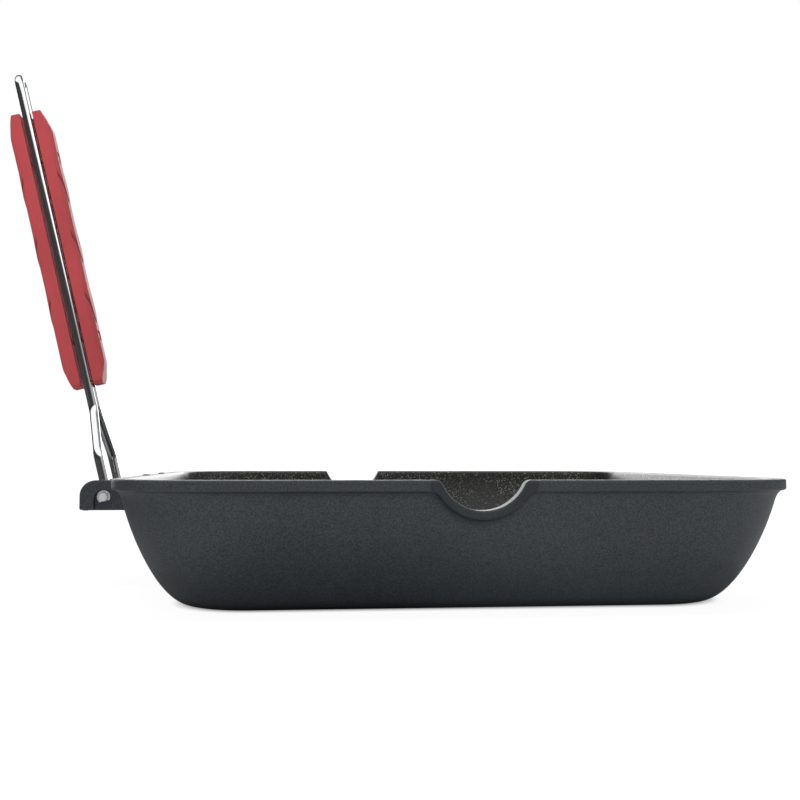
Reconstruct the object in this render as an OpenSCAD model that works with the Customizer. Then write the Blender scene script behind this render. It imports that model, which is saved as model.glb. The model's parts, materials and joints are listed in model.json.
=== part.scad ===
// Deep square cast pan with two pouring notches and one folding wire handle.
// Millimetres. +Z is up, the handle is on the -X side, and the origin is the
// middle of the flat base. The handle stands as it was left, leaning outwards.

/* [Pan] */
// Length of the rim, along the line of the handle
rim_length = 280; // [220:1:340]
// Width of the rim, across the line of the handle
rim_width = 280; // [220:1:340]
// Height of the rim's top above the base
pan_height = 52; // [44:0.5:75]
// Corner radius of the rim, seen from above
rim_corner_r = 41; // [26:1:60]
// Corner radius of the flat base
base_corner_r = 26; // [14:1:40]
// How far the rim's edge stands out past the edge of the flat base
base_inset = 30.2; // [26:0.1:44]
// Thickness of the cast wall where it meets the rim
wall = 4.3; // [3:0.1:6]
// Thickness of the floor
floor_thickness = 5; // [3:0.5:8]
// How far the floor's edge lies outside the edge of the flat base
heel = 2; // [0:0.5:5]
// Share of the wall's lean that is a straight draft, the rest being its bowl
draft_share = 0.254; // [0.1:0.002:0.7]
// Squareness of the curve from the wall to the base
bowl_power = 1.522; // [1.3:0.002:4]

/* [Rim band] */
// How far the band stands out from the wall
band_overhang = 3; // [1.5:0.1:4]
// Height of the band
band_height = 4.5; // [3:0.1:7]
// Rounding of the band's outer edges
band_edge_r = 0.8; // [0.3:0.1:1.4]
// Height of the hollow fillet under the band
band_fillet = 2.6; // [1:0.1:4]
// Rounding of the rim's inner edge
lip_r = 1.6; // [0.5:0.1:3]

/* [Pouring notches] */
// Radius of the notch's round trough
notch_r = 17.5; // [10:0.5:24]
// Depth of the notch below the rim
notch_depth = 11.7; // [6:0.1:15]
// Rounding of the notch's shoulders
notch_shoulder_r = 3; // [1:0.5:6]
// Thickness of the band where it follows the notch
notch_band = 3.5; // [2:0.1:5]
// Blend between the straight band and the notch's band
notch_band_blend = 6; // [2:0.5:10]
// Place of the near notch along the rim, from its middle
near_notch_x = 4.5; // [-60:0.5:60]
// Place of the far notch along the rim, from its middle
far_notch_x = -29.5; // [-60:0.5:60]

/* [Handle lug] */
// How far the lug's ears stand out past the rim's edge
ear_reach = 27.1; // [22:0.1:40]
// Thickness of each ear
ear_thickness = 7; // [5:0.1:10]
// How far the top of the ears lies below the rim
ear_drop = 2.3; // [0.5:0.1:5]
// Height of the ears
ear_height = 13.9; // [12:0.1:20]
// Radius of the ears' upper outer corner
ear_corner_r = 7.2; // [3:0.1:10]
// Radius of the ears' lower outer corner
ear_toe_r = 1; // [0.5:0.1:2]
// Thickness of the web that joins the ears
web_thickness = 2.6; // [1.5:0.1:3.5]
// Thickness of the stop bar at the outer end of the web
stop_thickness = 3.2; // [2:0.1:5]
// Depth of the pocket round the end of the pin, in the ear's outer face
pocket_depth = 3.4; // [2:0.1:4.5]
// Half the width of that pocket
pocket_r = 4; // [3.7:0.1:5]
// How far the pocket's round top is centred below the pin
pocket_drop = 0.7; // [0:0.1:1]

/* [Handle pivot] */
// How far the pivot lies outside the rim's edge
pivot_reach = 16.4; // [12:0.1:22]
// How far the pivot lies below the top of the rim
pivot_drop = 10.1; // [8:0.1:13]
// Lean of the standing handle, outwards from upright, in degrees
rest_lean = 13.5; // [0:0.1:30]
// Lean of the handle in use, outwards from upright, in degrees
use_lean = 78; // [60:1:85]

/* [Handle wire] */
// Diameter of the wire
wire_d = 4.4; // [3.5:0.1:6]
// Distance from the pivot to the tip of the loop
handle_reach = 217.6; // [150:0.1:280]
// Distance between the legs' centre lines inside the grip
grip_leg_gap = 8.2; // [7.6:0.1:12]
// Distance between the legs' centre lines at the pivot
pivot_leg_gap = 37; // [24:0.1:44]
// Where the legs begin to spread, from the pivot
spread_start = 46; // [40:0.5:54]
// Slope of the spreading legs, in degrees
spread_slope = 33; // [20:1:38]
// Bend radius of the wire's centre line where the legs spread
spread_bend_r = 10; // [8:0.5:16]
// Bend radius of the wire's centre line where a leg turns into its pin
pin_bend_r = 5; // [3.5:0.1:6]
// How far a pin's end stands back from the ear's outer face
pin_inset = 0.8; // [0.2:0.1:1.5]
// Chamfer on the pin's end
pin_chamfer = 0.7; // [0.3:0.1:1.2]

/* [Retaining rings] */
// Outer radius of the ring
ring_r = 3.1; // [2.8:0.1:3.5]
// Thickness of the ring
ring_thickness = 0.8; // [0.6:0.1:1.2]
// Depth of the groove in the pin
groove_depth = 0.5; // [0.3:0.1:0.8]
// Opening of the ring, in degrees
ring_opening = 70; // [40:5:120]

/* [Grip] */
// Where the grip starts, from the pivot
grip_start = 55.5; // [53:0.5:80]
// Length of the grip
grip_length = 140.8; // [80:0.2:150]
// Width of the grip
grip_width = 11.6; // [11:0.2:16]
// Gap between the two scales
grip_slot = 6; // [5.2:0.1:8]
// Thickness of the outer scale
outer_scale = 7.6; // [6:0.1:12]
// Thickness of the inner scale
inner_scale = 7.6; // [6:0.1:12]
// Height of a scale's straight side
scale_side = 5.3; // [2:0.1:6]
// Thickness of a scale at its ends
scale_end = 4.2; // [3:0.1:6]
// Length of the slope at each end
end_slope = 10.5; // [6:0.5:20]
// Height of each step along the scale
step_height = 0.35; // [0.2:0.05:1]
// How far the scale thins towards the hollow above each step
step_dip = 0.6; // [0.4:0.05:1.2]
// Distance from each step to the hollow above it
step_run = 13.4; // [6:0.2:18]
// Number of steps along the scale
step_count = 3; // [1:1:4]
// Distance between two steps
step_pitch = 31.2; // [20:0.2:40]
// Where the lowest step lies, from the pivot
step_start = 86.5; // [80:0.5:100]
// Width of the flat along the crown of a scale
crown_width = 6.8; // [6.6:0.1:14]
// Length of the pads that clamp the wire
pad_length = 10; // [5:0.5:15]

/* [Grip screws] */
// Diameter of the screw's shank
screw_d = 3; // [2:0.1:3]
// Diameter of the screw's head
screw_head_d = 5.6; // [4.5:0.1:6.2]
// Height of the screw's head
screw_head_h = 1.8; // [1:0.1:2.4]
// Width of the slot in the screw's head
driver_slot = 0.9; // [0.6:0.1:1.2]
// Diameter of the nut
nut_d = 5.8; // [4.5:0.1:6.2]
// Height of the nut
nut_h = 3; // [2:0.1:3.5]
// Distance from each end of the grip to its screw
screw_inset = 24; // [18:0.5:40]

/* [Clearances] */
// Radial running clearance of the pin in its ear
pin_clearance = 0.08; // [0.02:0.01:0.1]
// Gap between pieces that move past each other
moving_gap = 0.4; // [0.3:0.05:0.6]
// Radial clearance of a fastener in its hole
fastener_gap = 0.1; // [0.05:0.05:0.2]
// Clearance of a ring in its groove
ring_gap = 0.05; // [0.02:0.01:0.08]

/* [Hidden] */
round_fn = 64;
corner_steps = 8;
wall_steps = 12;
edge_steps = 3;
over = 1;

wire_r = wire_d / 2;
half_length = rim_length / 2;
half_width = rim_width / 2;
rim_top_width = band_overhang + wall;
floor_depth = pan_height - floor_thickness;

pivot_x = -half_length - pivot_reach;
pivot_z = pan_height - pivot_drop;
ear_inner_y = pivot_leg_gap / 2 + pin_bend_r + moving_gap;
ear_outer_y = ear_inner_y + ear_thickness;
ear_end_x = -half_length - ear_reach;
ear_top_z = pan_height - ear_drop;
ear_foot_z = ear_top_z - ear_height;
web_top_z = ear_foot_z + web_thickness;

pin_end_y = ear_outer_y - pin_inset;
ring_y = ear_outer_y - pocket_depth + moving_gap;
groove_r = wire_r - groove_depth;
grip_end = grip_start + grip_length;
loop_r = grip_leg_gap / 2;
loop_z = handle_reach - wire_r - loop_r;
screw_places = [grip_end - screw_inset, grip_start + screw_inset];

// ---- Pan ----------------------------------------------------------------

// How far in the wall has come at a share t of its height: a straight draft
// mixed with a rounded bowl, which ends level with the base.
function bowl(t) =
    draft_share * t + (1 - draft_share) * (1 - sqrt(max(0, 1 - pow(t, bowl_power))));

// Inset of the outer and of the inner wall at a given depth below the rim
function outer_inset(depth) =
    band_overhang + (base_inset - band_overhang)
        * bowl((depth - band_height) / (pan_height - band_height));
function inner_inset(depth) =
    rim_top_width + (base_inset - heel - rim_top_width)
        * bowl((depth - lip_r) / (floor_depth - lip_r));

function arc_points(cx, cy, r, from, to, steps) =
    [for (k = [0:steps]) let (a = from + (to - from) * k / steps) [cx + r * cos(a), cy + r * sin(a)]];

// Depths between two limits that close up towards the second, where the wall
// turns fastest
function step_depth(from, to, k) = from + (to - from) * sin(90 * k / wall_steps);

// Each point of the section is [inset from the rim's edge, depth below its top]
outer_wall = [
    for (k = [wall_steps:-1:0])
        let (depth = step_depth(band_height + band_fillet, pan_height, k))
        [outer_inset(depth), depth]
];
band_section = concat(
    [[band_overhang - band_edge_r, band_height + 0.25 * band_fillet]],
    arc_points(band_edge_r, band_height - band_edge_r, band_edge_r, 90, 180, edge_steps),
    arc_points(band_edge_r, band_edge_r, band_edge_r, 180, 270, edge_steps)
);
inner_wall = concat(
    arc_points(rim_top_width - lip_r, lip_r, lip_r, 270, 345, edge_steps),
    [
        for (k = [1:wall_steps])
            let (depth = step_depth(lip_r, floor_depth, k))
            [inner_inset(depth), depth]
    ]
);
pan_section = concat(outer_wall, band_section, inner_wall);

function corner_r(inset) =
    rim_corner_r - (rim_corner_r - base_corner_r) * inset / base_inset;

// One level ring of the pan: a rounded rectangle at a given inset and depth
function ring_points(p) =
    let (
        r = corner_r(p[0]),
        cx = half_length - p[0] - r,
        cy = half_width - p[0] - r
    )
    [
        for (q = [0:3], k = [0:corner_steps])
            let (a = 90 * q + 90 * k / corner_steps)
            [
                (q == 0 || q == 3 ? cx : -cx) + r * cos(a),
                (q < 2 ? cy : -cy) + r * sin(a),
                pan_height - p[1]
            ]
    ];

module pan_shell() {
    around = 4 * (corner_steps + 1);
    rings = len(pan_section);
    points = [for (p = pan_section) each ring_points(p)];
    sides = [
        for (j = [0:rings - 2], i = [0:around - 1])
            let (next = (i + 1) % around)
            [j * around + i, (j + 1) * around + i, (j + 1) * around + next, j * around + next]
    ];
    base_face = [for (i = [0:around - 1]) i];
    floor_face = [for (i = [around - 1:-1:0]) (rings - 1) * around + i];
    polyhedron(points, concat([base_face], sides, [floor_face]), convexity = 6);
}

// The outline above a round trough that blends into a level line. The trough's
// centre lies lift above the line, and the outline reaches top above it.
module trough_outline(r, lift, blend, top) {
    blend_x = sqrt(pow(r + blend, 2) - pow(blend + lift, 2));
    touch = r / (r + blend);
    difference() {
        union() {
            translate([0, lift]) circle(r, $fn = round_fn);
            translate([-blend_x, lift - (lift + blend) * touch])
                square([2 * blend_x, (lift + blend) * touch - lift + top]);
        }
        for (side = [-1, 1])
            translate([side * blend_x, -blend]) circle(blend, $fn = round_fn);
        translate([-2 * r, top]) square([4 * r, 2 * r]);
    }
}

notch_lift = notch_r - notch_depth;

// Places a notch's outline in the wall on the side given, from inset a to b
module in_side_wall(x, side, a, b) {
    mid = half_width - (a + b) / 2;
    translate([x, side * mid, 0]) rotate([90, 0, 0])
        linear_extrude(b - a, center = true) children();
}

module notch_rim(x, side) {
    in_side_wall(x, side, 0, rim_top_width - 0.3)
        translate([0, pan_height - band_height])
            trough_outline(notch_r + notch_band, notch_lift + band_height,
                notch_band_blend, band_height - band_edge_r);
}

module notch_cut(x, side) {
    in_side_wall(x, side, -over, base_inset / 2)
        translate([0, pan_height])
            trough_outline(notch_r, notch_lift, notch_shoulder_r, over);
}

// ---- Lug ----------------------------------------------------------------

// The ears run into the middle of the wall, at their top and at their foot
root_top_x = -half_length + band_overhang + wall / 2;
root_foot_depth = ear_drop + ear_height;
root_foot_x = -half_length + (outer_inset(root_foot_depth) + inner_inset(root_foot_depth)) / 2;

module ear_outline() {
    difference() {
        polygon([
            [ear_end_x, ear_foot_z], [root_foot_x, ear_foot_z],
            [root_top_x, ear_top_z], [ear_end_x, ear_top_z]
        ]);
        translate([ear_end_x - over, ear_top_z - ear_corner_r])
            difference() {
                square(ear_corner_r + over);
                translate([ear_corner_r + over, 0]) circle(ear_corner_r, $fn = round_fn);
            }
        translate([ear_end_x - over, ear_foot_z - over])
            difference() {
                square(ear_toe_r + over);
                translate([ear_toe_r + over, ear_toe_r + over]) circle(ear_toe_r, $fn = round_fn);
            }
    }
}

module across(from, to) {
    translate([0, to, 0]) rotate([90, 0, 0]) linear_extrude(to - from) children();
}

// Top of the bar that the legs come down on in use, a moving gap below them
stop_reach = pivot_x - ear_end_x - stop_thickness;
stop_z = pivot_z + stop_reach * tan(90 - use_lean) - (wire_r + moving_gap) / cos(90 - use_lean);

module lug() {
    for (side = [-1, 1])
        across(min(side * ear_inner_y, side * ear_outer_y), max(side * ear_inner_y, side * ear_outer_y))
            ear_outline();
    across(-ear_inner_y, ear_inner_y) {
        translate([ear_end_x + ear_toe_r, ear_foot_z])
            square([root_foot_x - ear_end_x - ear_toe_r, web_thickness]);
        translate([ear_end_x + ear_toe_r, ear_foot_z])
            square([stop_thickness - ear_toe_r, stop_z - ear_foot_z]);
    }
}

module pocket(side) {
    across(side > 0 ? ear_outer_y - pocket_depth : -ear_outer_y - over,
           side > 0 ? ear_outer_y + over : -ear_outer_y + pocket_depth)
        translate([pivot_x, pivot_z - pocket_drop]) {
            circle(pocket_r, $fn = round_fn);
            translate([-pocket_r, -ear_height]) square([2 * pocket_r, ear_height]);
        }
}

module pan_body() {
    color("#3f4446")
    difference() {
        union() {
            pan_shell();
            notch_rim(near_notch_x, -1);
            notch_rim(far_notch_x, 1);
            lug();
        }
        notch_cut(near_notch_x, -1);
        notch_cut(far_notch_x, 1);
        pocket(-1);
        pocket(1);
        translate([pivot_x, 0, pivot_z]) rotate([90, 0, 0])
            cylinder(h = 2 * ear_outer_y + 2 * over, r = wire_r + pin_clearance,
                center = true, $fn = round_fn);
    }
}

// ---- Handle, drawn upright with its pivot at the origin --------------------

module on_handle() {
    translate([pivot_x, 0, pivot_z]) rotate([0, -rest_lean, 0]) children();
}

spread_shift = (pivot_leg_gap - grip_leg_gap) / 2;
spread_straight = (spread_shift - 2 * spread_bend_r * (1 - cos(spread_slope))) / sin(spread_slope);
spread_length = 2 * spread_bend_r * sin(spread_slope) + spread_straight * cos(spread_slope);
// Straight lengths stop this short of the bends, and a round bead a hair wider
// than the wire closes each joint
joint_gap = 0.1;
bead_r = wire_r + 0.02;

// A bend of the wire in the plane of the handle, about a centre at [y, z],
// from one angle to another, both measured from +Y towards +Z
module bend(y, z, r, from, to) {
    translate([0, y, z]) rotate([90, 0, 90]) rotate([0, 0, from])
        rotate_extrude(angle = to - from, $fn = round_fn)
            translate([r, 0]) circle(wire_r, $fn = round_fn);
}

module straight(y, z, length, slope) {
    translate([0, y, z]) rotate([-slope, 0, 0]) {
        sphere(bead_r, $fn = round_fn);
        translate([0, 0, joint_gap]) cylinder(h = length - 2 * joint_gap, r = wire_r, $fn = round_fn);
        translate([0, 0, length]) sphere(bead_r, $fn = round_fn);
    }
}

// The far leg, from its pin up to the loop
module leg() {
    pin_y = pivot_leg_gap / 2 + pin_bend_r;
    low_y = pivot_leg_gap / 2;
    high_y = grip_leg_gap / 2;
    low_z = spread_start - spread_length;
    groove_from = ring_y - ring_gap - pin_y;
    groove_to = ring_y + ring_thickness + ring_gap - pin_y;
    translate([0, pin_y, 0]) rotate([-90, 0, 0]) {
        sphere(bead_r, $fn = round_fn);
        rotate_extrude($fn = round_fn) polygon([
            [0, joint_gap], [wire_r, joint_gap],
            [wire_r, groove_from], [groove_r, groove_from],
            [groove_r, groove_to], [wire_r, groove_to],
            [wire_r, pin_end_y - pin_y - pin_chamfer],
            [wire_r - pin_chamfer, pin_end_y - pin_y], [0, pin_end_y - pin_y]
        ]);
    }
    bend(pin_y, pin_bend_r, pin_bend_r, 180, 270);
    straight(low_y, pin_bend_r, low_z - pin_bend_r, 0);
    bend(low_y - spread_bend_r, low_z, spread_bend_r, 0, spread_slope);
    straight(low_y - spread_bend_r * (1 - cos(spread_slope)),
        low_z + spread_bend_r * sin(spread_slope), spread_straight, -spread_slope);
    bend(high_y + spread_bend_r, spread_start, spread_bend_r, 180, 180 + spread_slope);
    straight(high_y, spread_start, loop_z - spread_start, 0);
}

module handle_wire() {
    color("#c9cccd")
    on_handle() {
        leg();
        mirror([0, 1, 0]) leg();
        bend(0, loop_z, loop_r, 0, 180);
    }
}

// ---- Grip scales ------------------------------------------------------------

// Side view of a scale, as [height above the slot's middle, place along the handle].
// It is thickest just above each step and thins towards the hollow above it.
function scale_profile(thickness) =
    let (
        face = grip_slot / 2,
        full = face + thickness,
        edge = face + scale_end
    )
    concat(
        [[face, grip_start], [edge, grip_start], [full - step_dip / 2, grip_start + end_slope]],
        [
            for (k = [0:step_count - 1], p = [[step_height, 0], [0, 0.8], [step_dip, step_run]])
                [full - p[0], step_start + k * step_pitch + p[1]]
        ],
        [[full - step_dip / 2, grip_end - end_slope], [edge, grip_end], [face, grip_end]]
    );

// Cross-section of a scale: straight sides, sloping shoulders and a flat crown
function scale_section(thickness) =
    let (face = grip_slot / 2, half = grip_width / 2, crown = face + thickness)
    [
        [face, -half], [face + scale_side, -half], [crown, -crown_width / 2],
        [crown, crown_width / 2], [face + scale_side, half], [face, half]
    ];

module scale_blank(thickness) {
    intersection() {
        linear_extrude(grip_end + over) polygon(scale_section(thickness));
        rotate([90, 0, 0]) linear_extrude(grip_width + 2 * over, center = true)
            polygon(scale_profile(thickness));
    }
}

// Low pads that clamp both legs of the wire
module wire_pads() {
    pad_width = grip_leg_gap + 0.8;
    for (z = [grip_start + pad_length / 2, grip_end - 1.5 * pad_length])
        translate([wire_r, -pad_width / 2, z])
            cube([grip_slot / 2 - wire_r + over, pad_width, pad_length]);
}

module screw_hole(r, from, to) {
    for (z = screw_places)
        translate([from, 0, z]) rotate([0, 90, 0]) cylinder(h = to - from, r = r, $fn = round_fn);
}

module scale_body(thickness, seat_r, seat_depth) {
    crown = grip_slot / 2 + thickness;
    difference() {
        union() {
            scale_blank(thickness);
            wire_pads();
        }
        screw_hole(screw_d / 2 + fastener_gap, 0, crown + over);
        screw_hole(seat_r + fastener_gap, grip_slot / 2 + thickness - seat_depth, crown + over);
    }
}

head_depth = screw_head_h + 1.2;
nut_depth = nut_h + 0.8;

module outer_grip() {
    color("#b8434a")
    on_handle() mirror([1, 0, 0]) scale_body(outer_scale, screw_head_d / 2, head_depth);
}

module inner_grip() {
    color("#b8434a")
    on_handle() scale_body(inner_scale, nut_d / 2, nut_depth);
}

// ---- Fasteners ----------------------------------------------------------------

head_x = -(grip_slot / 2 + outer_scale - head_depth);
nut_x = grip_slot / 2 + inner_scale - nut_depth;

module grip_screw(z) {
    color("#b9bcbe")
    on_handle() translate([head_x, 0, z]) rotate([0, 90, 0]) {
        cylinder(h = nut_x + nut_h - head_x, r = screw_d / 2, $fn = round_fn);
        difference() {
            translate([0, 0, -screw_head_h])
                cylinder(h = screw_head_h, r = screw_head_d / 2, $fn = round_fn);
            translate([-driver_slot / 2, -screw_head_d / 2, -screw_head_h - over])
                cube([driver_slot, screw_head_d, screw_head_h / 2 + over]);
        }
    }
}

module grip_nut(z) {
    color("#c4a35a")
    on_handle() translate([nut_x, 0, z]) rotate([0, 90, 0])
        difference() {
            cylinder(h = nut_h, r = nut_d / 2, $fn = round_fn);
            translate([0, 0, -over])
                cylinder(h = nut_h + 2 * over, r = screw_d / 2 + ring_gap, $fn = round_fn);
        }
}

module retaining_ring() {
    translate([0, ring_y, 0]) rotate([-90, 0, 0]) rotate([0, 0, -90 + ring_opening / 2])
        rotate_extrude(angle = 360 - ring_opening, $fn = round_fn)
            translate([groove_r + ring_gap, 0])
                square([ring_r - groove_r - ring_gap, ring_thickness]);
}

module near_retaining_ring() {
    color("#d2d4d5") on_handle() mirror([0, 1, 0]) retaining_ring();
}

module far_retaining_ring() {
    color("#d2d4d5") on_handle() retaining_ring();
}

pan_body();
handle_wire();
outer_grip();
inner_grip();
grip_screw(screw_places[0]);  // upper_grip_screw
grip_screw(screw_places[1]);  // lower_grip_screw
grip_nut(screw_places[0]);  // upper_grip_nut
grip_nut(screw_places[1]);  // lower_grip_nut
near_retaining_ring();
far_retaining_ring();
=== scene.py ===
"""Deep square cast pan with two pouring notches and a folding wire handle.

Every length is in metres, in the frame of the CAD model: +Z is up, the handle is
on the -X side and the origin is the middle of the pan's flat base.
"""

import json
import math

import bpy
import numpy as np
from bpy.props import FloatProperty, FloatVectorProperty, IntProperty, PointerProperty
from mathutils import Matrix, Vector


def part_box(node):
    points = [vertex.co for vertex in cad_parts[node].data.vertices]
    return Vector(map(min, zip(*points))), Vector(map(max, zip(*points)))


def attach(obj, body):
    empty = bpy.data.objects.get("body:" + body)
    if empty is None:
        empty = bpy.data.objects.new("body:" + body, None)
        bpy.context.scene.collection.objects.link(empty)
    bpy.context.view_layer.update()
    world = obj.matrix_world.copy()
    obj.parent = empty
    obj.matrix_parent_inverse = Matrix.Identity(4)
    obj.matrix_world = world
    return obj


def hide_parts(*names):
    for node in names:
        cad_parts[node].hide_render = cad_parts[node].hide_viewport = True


bl_info = {
    "name": "Folding Handle Pan",
    "version": (1, 0, 0),
    "blender": (4, 5, 0),
    "location": "View3D > Sidebar > Pan",
    "description": "Builds a deep square cast pan with a folding wire handle",
    "category": "Add Mesh",
}

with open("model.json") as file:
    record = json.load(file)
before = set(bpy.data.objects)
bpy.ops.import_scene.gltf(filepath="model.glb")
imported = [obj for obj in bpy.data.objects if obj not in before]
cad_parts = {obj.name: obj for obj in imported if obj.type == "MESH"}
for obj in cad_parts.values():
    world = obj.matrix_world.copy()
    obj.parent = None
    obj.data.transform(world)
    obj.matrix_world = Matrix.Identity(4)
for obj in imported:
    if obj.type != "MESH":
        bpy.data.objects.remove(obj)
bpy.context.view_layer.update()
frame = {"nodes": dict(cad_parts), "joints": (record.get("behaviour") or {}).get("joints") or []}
PAN_LOW, PAN_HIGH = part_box("pan_body")
JOINT = frame["joints"][0]
PIVOT = tuple(JOINT["pos_m"])
MM = 0.001


# ---------------------------------------------------------------- properties


def length(name, description, default):
    """A property that holds a length in metres."""
    return FloatProperty(name=name, description=description, default=default, unit="LENGTH", precision=5)


def angle(name, description, degrees):
    """A property that holds an angle, given in degrees."""
    return FloatProperty(name=name, description=description, default=math.radians(degrees), unit="ROTATION")


def colour(name, description, default):
    """A property that holds a linear colour."""
    return FloatVectorProperty(
        name=name, description=description, default=default, subtype="COLOR", size=3, min=0, max=1
    )


class PanSizes(bpy.types.PropertyGroup):
    """Sizes of the cast pan, its rim band and its notches."""

    half: length("Half size", "Half the length of a side of the rim", PAN_HIGH.y)
    height: length("Height", "Height of the rim above the base", PAN_HIGH.z)
    rim_corner: length("Rim corner", "Corner radius of the rim, from above", 41 * MM)
    base_corner: length("Base corner", "Corner radius of the base, from above", 26 * MM)
    base_inset: length("Base inset", "How far the rim stands out past the base", 30.2 * MM)
    wall: length("Wall", "Thickness of the wall at the rim", 4.3 * MM)
    floor: length("Floor", "Thickness of the floor", 5 * MM)
    heel: length("Heel", "How far the floor reaches outside the base", 2 * MM)
    draft_share: FloatProperty(
        name="Draft share", description="Share of the wall's lean that is straight", default=0.254
    )
    bowl_power: FloatProperty(
        name="Bowl power", description="Squareness of the curve to the base", default=1.522
    )
    overhang: length("Overhang", "How far the band stands out from the wall", 3 * MM)
    band: length("Band", "Height of the band", 4.5 * MM)
    edge: length("Edge", "Rounding of the band's outer edges", 0.8 * MM)
    fillet: length("Fillet", "Height of the hollow under the band", 4.4 * MM)
    lip: length("Lip", "Rounding of the rim's inner edge", 1.6 * MM)
    notch_radius: length("Notch radius", "Radius of the round trough", 17.5 * MM)
    notch_depth: length("Notch depth", "Depth of the notch below the rim", 11.7 * MM)
    notch_shoulder: length("Notch shoulder", "Rounding of the notch's shoulders", 3 * MM)
    notch_band: length("Notch band", "Thickness of the band under the notch", 3.5 * MM)
    notch_blend: length("Notch blend", "Blend from the straight band to the notch's", 6 * MM)
    notch_relief: length("Notch relief", "How far the notch's band leans back at the trough", 0.8 * MM)
    far_shoulder: length("Far shoulder", "Rounding of the far notch's shoulders", 1 * MM)
    near_notch: length("Near notch", "Place of the near notch along the rim", 4.5 * MM)
    far_notch: length("Far notch", "Place of the far notch along the rim", -29.5 * MM)


class LugSizes(bpy.types.PropertyGroup):
    """Sizes of the two ears that carry the handle."""

    end: length("End", "X of the ears' outer end", PAN_LOW.x)
    top: length("Top", "Z of the ears' top", PAN_HIGH.z - 2.3 * MM)
    tall: length("Height", "Height of the ears", 13.9 * MM)
    inner: length("Inner face", "Y of an ear's inner face", 23.9 * MM)
    thick: length("Thickness", "Thickness of an ear", 7 * MM)
    corner: length("Corner", "Radius of the ears' upper outer corner", 7.2 * MM)
    toe: length("Toe", "Radius of the ears' lower outer corner", 1 * MM)
    edge: length("Edge", "Rounding of the casting's edges", 0.7 * MM)
    web: length("Web", "Thickness of the web between the ears", 2.6 * MM)
    stop: length("Stop", "Thickness of the stop bar", 3.2 * MM)
    stop_top: length("Stop top", "Z of the stop bar's top", 40.8 * MM)
    bore: length("Bore", "Radius of the pin's bore", 2.28 * MM)
    pocket: length("Pocket", "Radius of the pocket's round top", 4 * MM)
    pocket_drop: length("Pocket drop", "How far the pocket's centre is below the pin", 0.7 * MM)
    pocket_depth: length("Pocket depth", "Depth of the pocket", 3.4 * MM)
    fillet: length("Fillet", "Size of the cast fillets round the lug", 2.6 * MM)
    grain: length("Grain", "Spacing of the points that find the surface", 0.42 * MM)


class WireSizes(bpy.types.PropertyGroup):
    """Sizes of the bent wire of the handle."""

    lean: angle("Lean", "Outward lean of the standing handle", 13.5)
    radius: length("Radius", "Radius of the wire", 2.2 * MM)
    reach: length("Reach", "Distance from the pivot to the tip", 217.58 * MM)
    grip_gap: length("Grip gap", "Distance between the legs in the grip", 8.2 * MM)
    pivot_gap: length("Pivot gap", "Distance between the legs at the pivot", 37 * MM)
    spread: length("Spread", "Where the legs begin to spread", 46 * MM)
    slope: angle("Slope", "Slope of the spreading legs", 33)
    spread_bend: length("Spread bend", "Bend radius where the legs spread", 10 * MM)
    pin_bend: length("Pin bend", "Bend radius where a leg turns into its pin", 5 * MM)
    pin_end: length("Pin end", "Y of the pin's end", 30.1 * MM)
    chamfer: length("Chamfer", "Rounding of the pin's end", 0.7 * MM)
    ring: length("Ring", "Y of the retaining ring's inner face", 27.9 * MM)
    ring_width: length("Ring width", "Thickness of the retaining ring", 0.8 * MM)
    groove: length("Groove", "Depth of the ring's groove", 0.5 * MM)


class GripSizes(bpy.types.PropertyGroup):
    """Sizes of the two scales of the grip."""

    start: length("Start", "Where the grip starts, from the pivot", 55.5 * MM)
    long: length("Length", "Length of the grip", 140.8 * MM)
    half_width: length("Half width", "Half the grip's width", 5.8 * MM)
    slot: length("Slot", "Gap between the scales", 6 * MM)
    outer: length("Outer scale", "Thickness of the outer scale", 7.6 * MM)
    inner: length("Inner scale", "Thickness of the inner scale", 7.6 * MM)
    side: length("Side", "Height of a scale's straight side", 5.3 * MM)
    bevel: length("Bevel", "Width of the sloping shoulder", 2.4 * MM)
    end: length("End", "Thickness of a scale at its ends", 4.2 * MM)
    slope: length("Slope", "Length of the slope at each end", 10.5 * MM)
    edge: length("Edge", "Rounding of the edges", 0.7 * MM)
    foot_edge: length("Foot edge", "Chamfer of the lower end", 2 * MM)
    step: length("Step", "Height of the steps along the crown", 0.35 * MM)
    dip: length("Dip", "How far the crown falls to the hollow above a step", 0.4 * MM)
    pitch: length("Pitch", "Distance between two steps", 31.2 * MM)
    first: length("First step", "Where the lowest step lies", 86.5 * MM)
    run: length("Run", "Distance from a step to the hollow above it", 13.4 * MM)
    steps: IntProperty(name="Steps", description="Number of steps", default=3)
    screw_inset: length("Screw inset", "Distance from each end to its screw", 24 * MM)


class Finishes(bpy.types.PropertyGroup):
    """Colours of the finishes, linear."""

    paint: colour("Paint", "Satin coat outside", (0.053, 0.061, 0.067))
    lining: colour("Lining", "Stone-flecked coat inside", (0.0095, 0.0115, 0.0100))
    fleck: colour("Fleck", "Pale flecks in the lining", (0.52, 0.52, 0.44))
    chrome: colour("Chrome", "Bright plated wire", (0.80, 0.81, 0.82))
    plastic: colour("Plastic", "Moulded grip", (0.56, 0.080, 0.090))
    zinc: colour("Zinc", "Screws", (0.55, 0.56, 0.58))
    brass: colour("Brass", "Nuts", (0.58, 0.42, 0.17))
    steel: colour("Steel", "Retaining rings", (0.80, 0.81, 0.82))
    floor: colour("Floor", "The stage", (0.93, 0.93, 0.92))


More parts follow.
